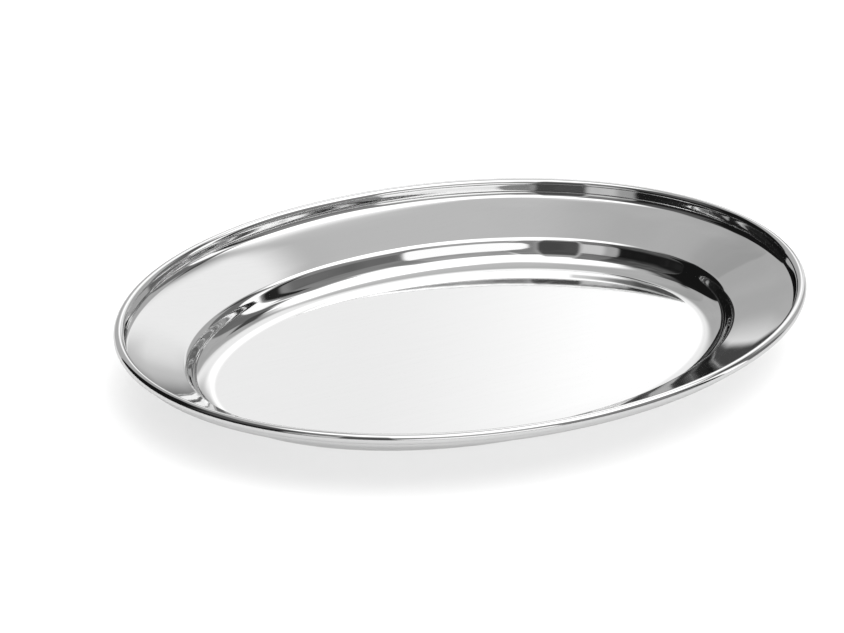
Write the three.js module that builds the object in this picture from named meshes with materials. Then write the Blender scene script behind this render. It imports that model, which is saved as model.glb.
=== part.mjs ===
// Oval stainless-steel serving tray: one pressed sheet with a sunken well, a broad sloping
// flange and a rolled rim bead, and the stiffening wire that the bead is rolled around.
//
// Frame: millimetres, +Z up. The origin is the centre of the flat underside.
// +X runs along the long axis of the oval and +Y across it.
//
// The sheet is drawn once, as a section that starts at the edge of the flat bottom and
// walks outward over the top surface. Each point of the section is an inset, measured
// inward from the bead's centreline, and a height. The section is turned into a closed
// lathe, and every ring of the lathe is then laid along the oval at its own inset.

import * as THREE from 'three';

// ---- Driving dimensions (mm, degrees) ------------------------------------------------

const TRAY_LENGTH = 300;
const TRAY_WIDTH = 220;
const TRAY_HEIGHT = 26;
const SHEET_THICKNESS = 0.7;

// Rolled rim
const BEAD_RADIUS = 2.1;
const LIP_GAP = 0.35;
const WIRE_RADIUS = 1.0;
const WIRE_BUTT_GAP = 1.2;

// Section, from the flat bottom outward
const BOTTOM_INSET = 39.6;
const COVE_RADIUS = 15.2;
const COVE_SLOPE = 29;
const WALL_FOOT_RADIUS = 7.6;
const WALL_SLOPE = 68;
const SHOULDER_RADIUS = 3.6;
const FLANGE_SLOPE = 18.9;
const SWEEP_RADIUS = 80;
const SWEEP_SLOPE = 24.5;
const FILLET_RADIUS = 3;
const UPSTAND_HEIGHT = 2.4;

// Fineness of the faceted solids
const OVAL_SEGMENTS = 72;
const ARC_STEP = 14;
const BEAD_ARC_STEP = 30;
const WIRE_STEPS = 90;
const WIRE_SIDE_DIVISIONS = 4;

// ---- Derived dimensions --------------------------------------------------------------

const HALF_LENGTH = TRAY_LENGTH / 2 - BEAD_RADIUS;
const HALF_WIDTH = TRAY_WIDTH / 2 - BEAD_RADIUS;
const BEAD_HEIGHT = TRAY_HEIGHT - BEAD_RADIUS;
const BOTTOM_RADIUS = HALF_WIDTH - BOTTOM_INSET;

const sine = (degrees) => Math.sin(THREE.MathUtils.degToRad(degrees));
const cosine = (degrees) => Math.cos(THREE.MathUtils.degToRad(degrees));

// The curl stops where its outer edge would come within LIP_GAP of the upstand's back.
function lipSlope() {
  const lipReach = (BEAD_RADIUS - SHEET_THICKNESS - LIP_GAP) / BEAD_RADIUS;
  return -90 - THREE.MathUtils.radToDeg(Math.acos(-lipReach));
}

// ---- Section of the sheet ------------------------------------------------------------

// The section is a chain of arcs and straights. Slopes are in degrees above horizontal,
// facing outward; an arc that steepens is hollow on top, one that eases off is crowned.
function arc(radius, fromSlope, toSlope, step = ARC_STEP) {
  const turn = toSlope < fromSlope ? -1 : 1;
  return {
    run: turn * radius * (sine(toSlope) - sine(fromSlope)),
    rise: turn * radius * (cosine(fromSlope) - cosine(toSlope)),
    radius: turn * radius,
    fromSlope,
    toSlope,
    steps: Math.max(1, Math.ceil(Math.abs(toSlope - fromSlope) / step)),
  };
}

function straight(length, slope) {
  return { run: length * cosine(slope), rise: length * sine(slope), fromSlope: slope, toSlope: slope };
}

// The wall and the flange are as long as it takes to join the flat bottom to the bead.
function wallAndFlange(fixedParts) {
  const sum = (key) => fixedParts.reduce((total, part) => total + part[key], 0);
  const run = BOTTOM_INSET - BEAD_RADIUS - sum('run');
  const rise = BEAD_HEIGHT - SHEET_THICKNESS - sum('rise');
  const scale = sine(WALL_SLOPE - FLANGE_SLOPE);
  return {
    wall: (rise * cosine(FLANGE_SLOPE) - run * sine(FLANGE_SLOPE)) / scale,
    flange: (run * sine(WALL_SLOPE) - rise * cosine(WALL_SLOPE)) / scale,
  };
}

function sectionParts() {
  const cove = arc(COVE_RADIUS, 0, COVE_SLOPE);
  const wallFoot = arc(WALL_FOOT_RADIUS, COVE_SLOPE, WALL_SLOPE);
  const shoulder = arc(SHOULDER_RADIUS, WALL_SLOPE, FLANGE_SLOPE);
  const sweep = arc(SWEEP_RADIUS, FLANGE_SLOPE, SWEEP_SLOPE);
  const fillet = arc(FILLET_RADIUS, SWEEP_SLOPE, 90, ARC_STEP + 4);
  const upstand = straight(UPSTAND_HEIGHT, 90);
  const length = wallAndFlange([cove, wallFoot, shoulder, sweep, fillet, upstand]);
  const wall = straight(length.wall, WALL_SLOPE);
  const flange = straight(length.flange, FLANGE_SLOPE);
  const bead = arc(BEAD_RADIUS, 90, lipSlope(), BEAD_ARC_STEP);
  return [cove, wallFoot, wall, shoulder, flange, sweep, fillet, upstand, bead];
}

// Stations along the top surface: inset, height and slope at each.
function sectionStations() {
  const stations = [{ inset: BOTTOM_INSET, height: SHEET_THICKNESS, slope: 0 }];
  for (const part of sectionParts()) {
    const start = stations[stations.length - 1];
    const steps = part.steps ?? 1;
    for (let i = 1; i <= steps; i += 1) {
      const slope = THREE.MathUtils.lerp(part.fromSlope, part.toSlope, i / steps);
      const bent = part.radius !== undefined;
      const run = bent ? part.radius * (sine(slope) - sine(part.fromSlope)) : part.run;
      const rise = bent ? part.radius * (cosine(part.fromSlope) - cosine(slope)) : part.rise;
      stations.push({ inset: start.inset - run, height: start.height + rise, slope });
    }
  }
  return stations;
}

// Closed outline for the lathe: out along the underside, round the lip, back over the top.
function latheProfile() {
  const topSide = sectionStations();
  const toPoint = ({ inset, height, slope }, depth) =>
    new THREE.Vector2(HALF_WIDTH - inset + depth * sine(slope), height - depth * cosine(slope));
  const underside = topSide.map((station) => toPoint(station, SHEET_THICKNESS));
  const top = topSide.map((station) => toPoint(station, 0)).reverse();
  const middle = BOTTOM_RADIUS / 2;
  return [
    new THREE.Vector2(0, 0),
    new THREE.Vector2(middle, 0),
    ...underside,
    ...top,
    new THREE.Vector2(middle, SHEET_THICKNESS),
    new THREE.Vector2(0, SHEET_THICKNESS),
  ];
}

// ---- The oval ------------------------------------------------------------------------

// A point on the line that runs at a constant inset inside the bead's centreline.
function ovalPoint(angle, inset) {
  const c = Math.cos(angle);
  const s = Math.sin(angle);
  const normal = new THREE.Vector2(HALF_WIDTH * c, HALF_LENGTH * s).normalize();
  return new THREE.Vector2(HALF_LENGTH * c, HALF_WIDTH * s).addScaledVector(normal, -inset);
}

// Rings on the sloping parts keep their inset; rings on the flat bottom shrink to the centre.
function layAlongOval(geometry) {
  const position = geometry.attributes.position;
  for (let i = 0; i < position.count; i += 1) {
    const across = position.getX(i);
    const height = position.getY(i);
    const along = position.getZ(i);
    const radius = Math.hypot(along, across);
    const inset = Math.min(HALF_WIDTH - radius, BOTTOM_INSET);
    const shrink = Math.min(radius / BOTTOM_RADIUS, 1);
    const point = ovalPoint(Math.atan2(across, along), inset).multiplyScalar(shrink);
    position.setXYZ(i, point.x, point.y, height);
  }
  geometry.computeVertexNormals();
  return geometry;
}

// Centreline of the wire: the bead's centreline, stopping short of closing on itself.
class WireCentreline extends THREE.Curve {
  getPoint(t, target = new THREE.Vector3()) {
    const gapAngle = WIRE_BUTT_GAP / HALF_LENGTH;
    const angle = Math.PI / 2 + gapAngle / 2 + t * (2 * Math.PI - gapAngle);
    const point = ovalPoint(angle, 0);
    return target.set(point.x, point.y, BEAD_HEIGHT);
  }
}

// ---- Materials -----------------------------------------------------------------------

function polishedSteel() {
  return new THREE.MeshStandardMaterial({ color: 0xd7d8da, metalness: 1, roughness: 0.08 });
}

function drawnWireSteel() {
  return new THREE.MeshStandardMaterial({ color: 0x9fa1a4, metalness: 1, roughness: 0.35 });
}

// ---- Sub-parts -----------------------------------------------------------------------

function makeTrayBody() {
  const geometry = layAlongOval(new THREE.LatheGeometry(latheProfile(), OVAL_SEGMENTS));
  const mesh = new THREE.Mesh(geometry, polishedSteel());
  mesh.name = 'tray_body';
  return mesh;
}

function makeRimWire() {
  const section = new THREE.Shape();
  section.absarc(0, 0, WIRE_RADIUS, 0, 2 * Math.PI);
  const geometry = new THREE.ExtrudeGeometry(section, {
    steps: WIRE_STEPS,
    curveSegments: WIRE_SIDE_DIVISIONS,
    extrudePath: new WireCentreline(),
  });
  const mesh = new THREE.Mesh(geometry, drawnWireSteel());
  mesh.name = 'rim_wire';
  return mesh;
}

const servingTray = new THREE.Group();
servingTray.add(makeTrayBody());
servingTray.add(makeRimWire());

export default servingTray;
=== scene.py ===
"""Oval polished stainless-steel serving tray, on a plain pale floor in a photo studio.

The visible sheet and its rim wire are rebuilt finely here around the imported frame. The section of
the sheet is the one that the CAD model uses, walked out from the flat bottom to the rolled rim,
and its length, width and height come from the frame. Everything is in metres.
"""

import math

import bpy
from mathutils import Matrix, Vector


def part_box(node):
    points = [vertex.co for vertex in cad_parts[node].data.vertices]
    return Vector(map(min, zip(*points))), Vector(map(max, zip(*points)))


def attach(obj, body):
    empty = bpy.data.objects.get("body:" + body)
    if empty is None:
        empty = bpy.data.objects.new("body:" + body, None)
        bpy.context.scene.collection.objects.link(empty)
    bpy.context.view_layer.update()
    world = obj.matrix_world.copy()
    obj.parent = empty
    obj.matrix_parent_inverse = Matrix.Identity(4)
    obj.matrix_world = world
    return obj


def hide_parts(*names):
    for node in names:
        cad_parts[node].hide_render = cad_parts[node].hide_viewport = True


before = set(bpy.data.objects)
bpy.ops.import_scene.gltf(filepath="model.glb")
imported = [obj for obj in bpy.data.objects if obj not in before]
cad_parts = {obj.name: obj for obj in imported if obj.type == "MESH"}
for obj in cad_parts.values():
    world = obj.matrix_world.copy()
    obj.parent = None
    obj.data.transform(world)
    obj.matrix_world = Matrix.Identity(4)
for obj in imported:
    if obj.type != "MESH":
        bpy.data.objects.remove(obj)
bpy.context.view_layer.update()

MM = 0.001

# ---- The tray's section, as in the CAD model (metres, degrees) -------------------------

SHEET_THICKNESS = 0.7 * MM
BEAD_RADIUS = 2.1 * MM
LIP_GAP = 0.35 * MM
WIRE_RADIUS = 1.0 * MM
WIRE_BUTT_GAP = 1.2 * MM
BOTTOM_INSET = 39.6 * MM
COVE_RADIUS = 15.2 * MM
COVE_SLOPE = 29
WALL_FOOT_RADIUS = 7.6 * MM
WALL_SLOPE = 68
SHOULDER_RADIUS = 3.6 * MM
FLANGE_SLOPE = 18.9
SWEEP_RADIUS = 80 * MM
SWEEP_SLOPE = 24.5
FILLET_RADIUS = 3 * MM
UPSTAND_HEIGHT = 2.4 * MM

# Fineness of the visible meshes
OVAL_SEGMENTS = 400
ARC_STEP = 4
BEAD_ARC_STEP = 6
SWEEP_ARC_STEP = 1
STRAIGHT_STEPS = 4
WIRE_SIDES = 20
FLAT_SHARES = [0.3, 0.6, 0.85]

TRAY_LOW, TRAY_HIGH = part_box("tray_body")
HALF_LENGTH = (TRAY_HIGH.x - TRAY_LOW.x) / 2 - BEAD_RADIUS
HALF_WIDTH = (TRAY_HIGH.y - TRAY_LOW.y) / 2 - BEAD_RADIUS
BEAD_HEIGHT = TRAY_HIGH.z - BEAD_RADIUS


def sine(degrees):
    return math.sin(math.radians(degrees))


def cosine(degrees):
    return math.cos(math.radians(degrees))


# ---- Section ---------------------------------------------------------------------------


def arc(radius, from_slope, to_slope, step=ARC_STEP):
    """Run, rise and fineness of an arc; a negative signed radius is crowned on top."""
    signed = -radius if to_slope < from_slope else radius
    return {
        "radius": signed,
        "from": from_slope,
        "to": to_slope,
        "run": signed * (sine(to_slope) - sine(from_slope)),
        "rise": signed * (cosine(from_slope) - cosine(to_slope)),
        "steps": max(1, math.ceil(abs(to_slope - from_slope) / step)),
    }


def straight(length, slope):
    return {
        "radius": None,
        "from": slope,
        "to": slope,
        "run": length * cosine(slope),
        "rise": length * sine(slope),
        "steps": STRAIGHT_STEPS,
    }


def lip_slope():
    """The curl stops where its outer edge comes within LIP_GAP of the upstand's back."""
    reach = (BEAD_RADIUS - SHEET_THICKNESS - LIP_GAP) / BEAD_RADIUS
    return -90 - math.degrees(math.acos(-reach))


def section_parts():
    """The sheet from the edge of the flat bottom to the lip, as arcs and straights."""
    cove = arc(COVE_RADIUS, 0, COVE_SLOPE)
    wall_foot = arc(WALL_FOOT_RADIUS, COVE_SLOPE, WALL_SLOPE)
    shoulder = arc(SHOULDER_RADIUS, WALL_SLOPE, FLANGE_SLOPE)
    sweep = arc(SWEEP_RADIUS, FLANGE_SLOPE, SWEEP_SLOPE, SWEEP_ARC_STEP)
    fillet = arc(FILLET_RADIUS, SWEEP_SLOPE, 90)
    upstand = straight(UPSTAND_HEIGHT, 90)
    bead = arc(BEAD_RADIUS, 90, lip_slope(), BEAD_ARC_STEP)
    fixed = [cove, wall_foot, shoulder, sweep, fillet, upstand]
    run = BOTTOM_INSET - BEAD_RADIUS - sum(part["run"] for part in fixed)
    rise = BEAD_HEIGHT - SHEET_THICKNESS - sum(part["rise"] for part in fixed)
    scale = sine(WALL_SLOPE - FLANGE_SLOPE)
    wall_length = (rise * cosine(FLANGE_SLOPE) - run * sine(FLANGE_SLOPE)) / scale
    flange_length = (run * sine(WALL_SLOPE) - rise * cosine(WALL_SLOPE)) / scale
    wall = straight(wall_length, WALL_SLOPE)
    flange = straight(flange_length, FLANGE_SLOPE)
    return [cove, wall_foot, wall, shoulder, flange, sweep, fillet, upstand, bead]


def section_stations():
    """(inset from the bead's centreline, height, slope) along the top surface."""
    stations = [(BOTTOM_INSET, SHEET_THICKNESS, 0.0)]
    for part in section_parts():
        inset, height, _ = stations[-1]
        for i in range(1, part["steps"] + 1):
            share = i / part["steps"]
            slope = part["from"] + (part["to"] - part["from"]) * share
            if part["radius"] is None:
                run, rise = part["run"] * share, part["rise"] * share
            else:
                run = part["radius"] * (sine(slope) - sine(part["from"]))
                rise = part["radius"] * (cosine(part["from"]) - cosine(slope))
            stations.append((inset - run, height + rise, slope))
    return stations


# ---- Oval ------------------------------------------------------------------------------


def oval_point(angle, inset, height, shrink=1.0):
    """A point at a constant inset inside the bead's centreline."""
    c, s = math.cos(angle), math.sin(angle)
    normal = Vector((HALF_WIDTH * c, HALF_LENGTH * s)).normalized()
    flat = (Vector((HALF_LENGTH * c, HALF_WIDTH * s)) - normal * inset) * shrink
    return Vector((flat.x, flat.y, height))


def ring(inset, height, shrink=1.0):
    turn = 2 * math.pi / OVAL_SEGMENTS
    return [oval_point(i * turn, inset, height, shrink) for i in range(OVAL_SEGMENTS)]


def bridge(first, second, count):
    """Quads between two closed rings of vertices that start at the given indices."""
    faces = []
    for i in range(count):
        j = (i + 1) % count
        faces.append((first + i, first + j, second + j, second + i))
    return faces


def new_piece(name, vertices, faces, material):
    mesh = bpy.data.meshes.new(name)
    mesh.from_pydata(vertices, [], faces)
    mesh.shade_smooth()
    mesh.materials.append(material)
    piece = bpy.data.objects.new(name, mesh)
    bpy.context.scene.collection.objects.link(piece)
    return piece


def make_tray(material):
    """The pressed sheet as one closed body: top side out to the lip, back along the underside."""
    stations = section_stations()
    rings = [ring(BOTTOM_INSET, SHEET_THICKNESS, share) for share in FLAT_SHARES]
    rings += [ring(inset, height) for inset, height, _ in stations]
    for inset, height, slope in reversed(stations):
        back_inset = inset - SHEET_THICKNESS * sine(slope)
        rings.append(ring(back_inset, height - SHEET_THICKNESS * cosine(slope)))
    rings += [ring(BOTTOM_INSET, 0.0, share) for share in reversed(FLAT_SHARES)]

    vertices = [point for points in rings for point in points]
    faces = []
    for i in range(len(rings) - 1):
        faces += bridge(i * OVAL_SEGMENTS, (i + 1) * OVAL_SEGMENTS, OVAL_SEGMENTS)
    last = (len(rings) - 1) * OVAL_SEGMENTS
    top_centre = len(vertices)
    vertices += [Vector((0, 0, SHEET_THICKNESS)), Vector((0, 0, 0))]
    for i in range(OVAL_SEGMENTS):
        j = (i + 1) % OVAL_SEGMENTS
        faces.append((top_centre, i, j))
        faces.append((top_centre + 1, last + j, last + i))
    faces = [tuple(reversed(face)) if len(face) == 4 else face for face in faces]
    return new_piece("tray_sheet", vertices, faces, material)


def make_wire(material):
    """The round wire inside the bead, butted end to end with a small gap."""
    gap_angle = WIRE_BUTT_GAP / HALF_LENGTH
    start = math.pi / 2 + gap_angle / 2
    span = 2 * math.pi - gap_angle
    vertices = []
    faces = []
    for i in range(OVAL_SEGMENTS + 1):
        angle = start + span * i / OVAL_SEGMENTS
        for k in range(WIRE_SIDES):
            turn = 2 * math.pi * k / WIRE_SIDES
            inset = WIRE_RADIUS * math.cos(turn)
            vertices.append(oval_point(angle, inset, BEAD_HEIGHT + WIRE_RADIUS * math.sin(turn)))
    for i in range(OVAL_SEGMENTS):
        faces += bridge(i * WIRE_SIDES, (i + 1) * WIRE_SIDES, WIRE_SIDES)
    faces.append(tuple(reversed(range(WIRE_SIDES))))
    faces.append(tuple(range(OVAL_SEGMENTS * WIRE_SIDES, (OVAL_SEGMENTS + 1) * WIRE_SIDES)))
    return new_piece("rim_wire_round", vertices, faces, material)


# ---- Node helpers ----------------------------------------------------------------------


class Nodes:
    """A thin wrapper that adds nodes and wires numbers or sockets to their inputs."""

    def __init__(self, tree):
        self.tree = tree

    def add(self, kind, inputs=None, **settings):
        node = self.tree.nodes.new(kind)
        for key, value in settings.items():
            setattr(node, key, value)
        for key, value in (inputs or {}).items():
            self.plug(value, node.inputs[key])
        return node

    def plug(self, value, socket):
        if isinstance(value, bpy.types.NodeSocket):
            self.tree.links.new(value, socket)
        else:
            socket.default_value = value

    def math(self, operation, a, b=0.0):
        return self.add("ShaderNodeMath", {0: a, 1: b}, operation=operation).outputs[0]

    def ramp(self, value, low, high, out_low, out_high):
        """A smooth step from out_low to out_high as the value goes from low to high."""
        inputs = {"Value": value, "From Min": low, "From Max": high, "To Min": out_low, "To Max": out_high}
        node = self.add("ShaderNodeMapRange", inputs, interpolation_type="SMOOTHSTEP")
        return node.outputs["Result"]

    def noise(self, vector, scale, detail, roughness):
        inputs = {"Vector": vector, "Scale": scale, "Detail": detail, "Roughness": roughness}
        return self.add("ShaderNodeTexNoise", inputs).outputs["Fac"]

    def blend(self, share, first, second):
        """A colour between the first and the second; the first may be a socket."""
        mix = self.add("ShaderNodeMix", data_type="RGBA")
        self.plug(share, mix.inputs[0])
        self.plug(first, mix.inputs[6])
        self.plug(second, mix.inputs[7])
        return mix.outputs[2]


def fresh_material(name):
    material = bpy.data.materials.new(name)
    material.use_nodes = True
    nodes = Nodes(material.node_tree)
    shader = material.node_tree.nodes["Principled BSDF"]
    return material, nodes, shader


# ---- Materials -------------------------------------------------------------------------

STEEL_COLOUR = (0.905, 0.905, 0.905, 1.0)
STEEL_GRAIN_COLOUR = (0.893, 0.893, 0.893, 1.0)
GRAIN_STRETCH = (40.0, 900.0, 900.0)
GRAIN_DEPTH = 0.000004
WIRE_DARK_COLOUR = (0.55, 0.555, 0.56, 1.0)
WIRE_LIGHT_COLOUR = (0.66, 0.665, 0.67, 1.0)
FLOOR_COLOUR = (0.64, 0.64, 0.64, 1.0)
FLOOR_LIGHT_COLOUR = (0.66, 0.66, 0.66, 1.0)
# Painted shade: the darker floor colour that glossy rays see, in place of the shade under the tray
FLOOR_MIRRORED_SHADE_COLOUR = (0.4, 0.4, 0.4, 1.0)


def polished_steel():
    """Mirror-polished stainless with a faint lengthwise rolling grain and slight haze."""
    material, nodes, shader = fresh_material("polished_stainless")
    place = nodes.add("ShaderNodeTexCoord").outputs["Object"]
    along = nodes.add("ShaderNodeMapping", {"Vector": place, "Scale": GRAIN_STRETCH})
    grain = nodes.noise(along.outputs["Vector"], 1.0, 4.0, 0.6)
    haze = nodes.noise(place, 35.0, 3.0, 0.5)
    roughness = nodes.ramp(grain, 0.3, 0.75, 0.02, 0.05)
    haze_add = nodes.ramp(haze, 0.35, 0.75, 0.0, 0.012)
    nodes.plug(nodes.math("ADD", roughness, haze_add), shader.inputs["Roughness"])
    tint = nodes.ramp(grain, 0.25, 0.8, 0.0, 1.0)
    colour = nodes.blend(tint, STEEL_COLOUR, STEEL_GRAIN_COLOUR)
    nodes.plug(colour, shader.inputs["Base Color"])
    shader.inputs["Metallic"].default_value = 1.0
    bump = nodes.add("ShaderNodeBump", {"Height": grain, "Distance": GRAIN_DEPTH, "Strength": 0.1})
    nodes.plug(bump.outputs["Normal"], shader.inputs["Normal"])
    return material


def drawn_wire():
    """Dull drawn wire with lengthwise die marks."""
    material, nodes, shader = fresh_material("drawn_steel_wire")
    place = nodes.add("ShaderNodeTexCoord").outputs["Object"]
    marks = nodes.noise(place, 900.0, 3.0, 0.6)
    nodes.plug(nodes.ramp(marks, 0.3, 0.7, 0.3, 0.45), shader.inputs["Roughness"])
    colour = nodes.blend(marks, WIRE_DARK_COLOUR, WIRE_LIGHT_COLOUR)
    nodes.plug(colour, shader.inputs["Base Color"])
    shader.inputs["Metallic"].default_value = 1.0
    return material


def floor_paint():
    """Pale matt paint. Glossy rays get a darker floor colour, a painted shade on the floor as the steel
    mirrors it, which keeps the tray's underside grey.
    """
    material, nodes, shader = fresh_material("studio_floor")
    place = nodes.add("ShaderNodeTexCoord").outputs["Object"]
    soft = nodes.noise(place, 3.0, 2.0, 0.5)
    painted = nodes.blend(soft, FLOOR_COLOUR, FLOOR_LIGHT_COLOUR)
    # Painted shade: the steel mirrors the floor darker than the camera sees it
    painted_mirror_shade = nodes.add("ShaderNodeLightPath").outputs["Is Glossy Ray"]
    colour = nodes.blend(painted_mirror_shade, painted, FLOOR_MIRRORED_SHADE_COLOUR)
    nodes.plug(colour, shader.inputs["Base Color"])
    shader.inputs["Roughness"].default_value = 0.8
    shader.inputs["Specular IOR Level"].default_value = 0.2
    return material


# ---- Studio ----------------------------------------------------------------------------

# The studio round the tray, as cards seen from the tray. Azimuth is the compass direction
# clockwise from +Y, elevation the height above the floor, both in degrees from edge to edge.
# Lean shifts a card's azimuth by so many degrees for each degree of height. Soft is the width
# of the side edges and of the top edge. Patchy mixes in uneven, half-seen shapes.
# Later cards lie in front of earlier ones.
CARDS = [
    # name, azimuth from, to, elevation from, to, lean, side soft, top soft, level, patchy
    ("ceiling_grey", -75, 66, -10, 75.5, -0.05, 14, 9, 0.45, 0.04),
    ("ceiling_light", 40, 84, 48, 75.5, -0.05, 24, 9, 0.56, 0.04),
    ("ceiling_edge", 60, 82, 38, 50, 0.0, 5, 5, 0.3, 0.05),
    ("left_ceiling", -140, -70, -10, 71, 0.0, 6, 6, 0.17, 0.2),
    ("left_room", -121, -17, -10, 66, 0.0, 3, 8, 0.09, 0.3),
    ("left_room_low", -122, -72, -10, 36, 0.0, 3, 30, 0.015, 0.3),
    ("left_window_side", -136, -120.5, 8, 31, 0.0, 3, 4, 0.36, 0.1),
    ("left_window", -140.5, -128, 8, 31, 0.0, 4, 4, 0.58, 0.05),
    ("left_window_sill", -142, -117, -10, 8, 0.0, 3, 5, 0.02, 0.0),
    ("left_black_flag", -74, -17, -10, 54, 0.1, 1.5, 8, 0.008, 0.0),
    ("left_flag_top", -32, -8, 40, 53, 0.0, 2, 5, 0.01, 0.0),
    ("rear_left_wall", -17, 28, -10, 51, 0.0, 2, 8, 0.37, 0.05),
    ("rear_left_screen", -17, 28, -10, 39, 0.1, 2, 1, 0.43, 0.03),
    ("rear_backdrop", 22, 57, -10, 49, 0.12, 9, 5, 0.92, 0.0),
    ("rear_backdrop_centre", 34, 46, 16, 44, 0.0, 6, 8, 1.25, 0.0),
    ("rear_backdrop_low", 38, 52, -10, 22, 0.0, 8, 20, 0.55, 0.0),
    ("rear_table_edge", 18, 36, -10, 9.5, 0.0, 6, 2.5, 0.06, 0.0),
    ("rear_table_shade", 34, 49, -10, 9, 0.0, 4, 10, 0.17, 0.0),
    ("hanging_lamp", 28, 31, 38, 48, 0.0, 1.5, 2, 0.12, 0.0),
    ("rear_right_wall", 58, 90, -10, 44, 0.12, 3, 5, 0.42, 0.04),
    ("right_wall", 88, 109, -10, 44, 0.0, 3, 6, 0.15, 0.05),
    ("right_dark_stand", 73, 94, 36, 45, 0.0, 4, 3, 0.06, 0.1),
    ("front_wall_light", 150, 192, -10, 52.5, 0.0, 3, 5, 0.36, 0.1),
    ("front_wall_dark", 188, 209, -10, 52.5, 0.1, 4, 5, 0.24, 0.1),
    ("front_window", 150, 224, -10, 25, -1.3, 2, 3, 1.1, 0.0),
    ("right_window", 108.5, 117, 0, 34, -0.1, 1.5, 8, 1.1, 0.0),
    ("right_room_top", 112, 134, 30, 49, 0.0, 4, 5, 0.3, 0.05),
    ("front_right_room", 117, 162, -10, 44, 0.0, 2, 10, 0.23, 0.08),
    ("front_right_low", 128, 161, -10, 17, 0.0, 4, 4, 0.14, 0.1),
    ("camera_stand", 118, 124, -10, 33, 0.1, 2, 3, 0.02, 0.2),
    ("front_stand_top", 202, 221, -10, 65, 0.0, 3, 6, 0.34, 0.1),
    ("front_stand", 203.5, 220, -10, 51, 0.0, 2, 10, 0.075, 0.1),
    ("front_table_rim", 128, 226, -10, 6, 0.0, 8, 4, 0.38, 0.0),
]
KEY_SOFTBOX = ("key_softbox", 72, 140, 50, 74, -0.1, 13, 14, 1.7, 0.0)
SKY_BRIGHTNESS = 1.3
GROUND_BRIGHTNESS = 0.75
BACKDROP_COLOUR = (1.0, 1.0, 1.0, 1.0)
FLOOR_HALF_SIZE = 2.0


def card_group():
    """One card: lays its level over what is behind it where the direction falls on it."""
    group = bpy.data.node_groups.new("studio_card", "ShaderNodeTree")
    names = ["Azimuth", "Elevation", "Patches", "Centre", "Half Width", "Bottom", "Top", "Lean"]
    names += ["Side Soft", "Top Soft", "Level", "Patchy", "Behind"]
    for name in names:
        group.interface.new_socket(name, in_out="INPUT", socket_type="NodeSocketFloat")
    group.interface.new_socket("Result", in_out="OUTPUT", socket_type="NodeSocketFloat")
    nodes = Nodes(group)
    given = nodes.add("NodeGroupInput").outputs

    def edge(value, place, soft, rising):
        half = nodes.math("MULTIPLY", soft, 0.5)
        low = nodes.math("SUBTRACT", place, half)
        high = nodes.math("ADD", place, half)
        return nodes.ramp(value, low, high, *((0.0, 1.0) if rising else (1.0, 0.0)))

    shift = nodes.math("MULTIPLY", given["Lean"], given["Elevation"])
    offset = nodes.math("SUBTRACT", nodes.math("SUBTRACT", given["Azimuth"], given["Centre"]), shift)
    wrapped = nodes.add("ShaderNodeMath", {0: offset, 1: 180.0, 2: -180.0}, operation="WRAP")
    away = nodes.math("ABSOLUTE", wrapped.outputs[0])
    side = edge(away, given["Half Width"], given["Side Soft"], False)
    bottom = edge(given["Elevation"], given["Bottom"], given["Side Soft"], True)
    top = edge(given["Elevation"], given["Top"], given["Top Soft"], False)
    mask = nodes.math("MULTIPLY", side, nodes.math("MULTIPLY", bottom, top))
    uneven = nodes.math("MULTIPLY", given["Patchy"], given["Patches"])
    level = nodes.math("MULTIPLY", given["Level"], nodes.math("ADD", uneven, 1.0))
    gain = nodes.math("SUBTRACT", level, given["Behind"])
    result = nodes.math("ADD", given["Behind"], nodes.math("MULTIPLY", gain, mask))
    out = nodes.add("NodeGroupOutput")
    nodes.plug(result, out.inputs["Result"])
    return group


def build_world():
    """The studio that the steel mirrors: a white ceiling and room, with cards and flags round it."""
    world = bpy.data.worlds.new("studio")
    bpy.context.scene.world = world
    world.use_nodes = True
    nodes = Nodes(world.node_tree)
    for node in list(world.node_tree.nodes):
        world.node_tree.nodes.remove(node)
    direction = nodes.add("ShaderNodeTexCoord").outputs["Generated"]
    parts = nodes.add("ShaderNodeSeparateXYZ", {"Vector": direction}).outputs
    to_degrees = math.degrees(1)
    azimuth = nodes.math("MULTIPLY", nodes.math("ARCTAN2", parts["X"], parts["Y"]), to_degrees)
    elevation = nodes.math("MULTIPLY", nodes.math("ARCSINE", parts["Z"]), to_degrees)
    patches = nodes.ramp(nodes.noise(direction, 4.5, 2.0, 0.5), 0.36, 0.64, -1.0, 1.0)

    level = nodes.ramp(elevation, -20, 2, GROUND_BRIGHTNESS, SKY_BRIGHTNESS)
    group = card_group()
    for values in [*CARDS, KEY_SOFTBOX]:
        name, start, end, bottom, top, lean, side_soft, top_soft, bright, patchy = values
        card = nodes.add("ShaderNodeGroup", node_tree=group, label=name)
        inputs = {
            "Azimuth": azimuth,
            "Elevation": elevation,
            "Patches": patches,
            "Centre": (start + end) / 2,
            "Half Width": (end - start) / 2,
            "Bottom": bottom,
            "Top": top,
            "Lean": lean,
            "Side Soft": side_soft,
            "Top Soft": top_soft,
            "Level": bright,
            "Patchy": patchy,
            "Behind": level,
        }
        for key, value in inputs.items():
            nodes.plug(value, card.inputs[key])
        level = card.outputs["Result"]

    lighting = nodes.add("ShaderNodeBackground", {"Color": level})
    backdrop = nodes.add("ShaderNodeBackground", {"Color": BACKDROP_COLOUR})
    seen = nodes.add("ShaderNodeLightPath").outputs["Is Camera Ray"]
    mix = nodes.add("ShaderNodeMixShader", {0: seen, 1: lighting.outputs[0], 2: backdrop.outputs[0]})
    nodes.add("ShaderNodeOutputWorld", {"Surface": mix.outputs[0]})


def build_floor():
    half = FLOOR_HALF_SIZE
    corners = [(-half, -half, 0), (half, -half, 0), (half, half, 0), (-half, half, 0)]
    floor = new_piece("studio_floor", corners, [(0, 1, 2, 3)], floor_paint())


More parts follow.
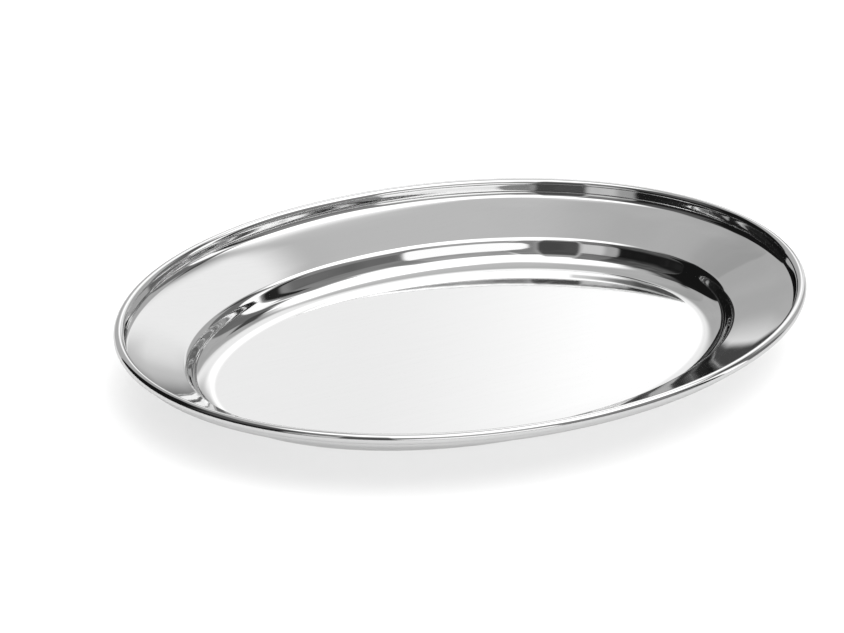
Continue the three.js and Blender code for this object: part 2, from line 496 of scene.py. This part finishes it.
def softbox(name, place, width, height, watts, casts_shadow):
    """A large lamp for the floor, aimed at the tray, that the steel doesn't mirror."""
    data = bpy.data.lights.new(name, "AREA")
    data.shape = "RECTANGLE"
    data.size = width
    data.size_y = height
    data.energy = watts
    data.use_shadow = casts_shadow
    lamp = bpy.data.objects.new(name, data)
    lamp.location = place
    lamp.rotation_euler = Vector(place).to_track_quat("Z", "Y").to_euler()
    lamp.visible_glossy = False
    lamp.visible_camera = False
    bpy.context.scene.collection.objects.link(lamp)


def build_softboxes():
    softbox("overhead_fill", (0.0, 0.0, 2.2), 3.6, 3.6, 117, False)
    softbox("rear_softbox", (0.7, 1.1, 0.9), 1.6, 1.0, 3, True)


# ---- Camera ----------------------------------------------------------------------------

CAMERA_AZIMUTH = -32.05
CAMERA_ELEVATION = 26.23
CAMERA_ROLL = 2.22
CAMERA_DISTANCE = 2.072
CAMERA_AIM = Vector((0.0043, 0.0395, 0.0))
SENSOR_WIDTH = 36.0
LENS = 213.83


def build_camera():
    az, el = CAMERA_AZIMUTH, CAMERA_ELEVATION
    back = Vector((sine(az) * cosine(el), -cosine(az) * cosine(el), sine(el)))
    right = (-back).cross(Vector((0, 0, 1))).normalized()
    up = right.cross(-back)
    rolled_right = right * cosine(CAMERA_ROLL) + up * sine(CAMERA_ROLL)
    rolled_up = up * cosine(CAMERA_ROLL) - right * sine(CAMERA_ROLL)
    data = bpy.data.cameras.new("camera")
    data.sensor_width = SENSOR_WIDTH
    data.lens = LENS
    data.clip_end = 50
    camera = bpy.data.objects.new("camera", data)
    turn = Matrix((rolled_right, rolled_up, back)).transposed()
    camera.matrix_world = Matrix.Translation(CAMERA_AIM + back * CAMERA_DISTANCE) @ turn.to_4x4()
    bpy.context.scene.collection.objects.link(camera)
    bpy.context.scene.camera = camera


# ---- Put together ----------------------------------------------------------------------

build_camera()
build_world()
build_floor()
build_softboxes()

tray = make_tray(polished_steel())
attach(tray, "root")
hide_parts("tray_body")

wire = make_wire(drawn_wire())
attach(wire, "root")
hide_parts("rim_wire")

bpy.context.scene.view_settings.view_transform = "Standard"
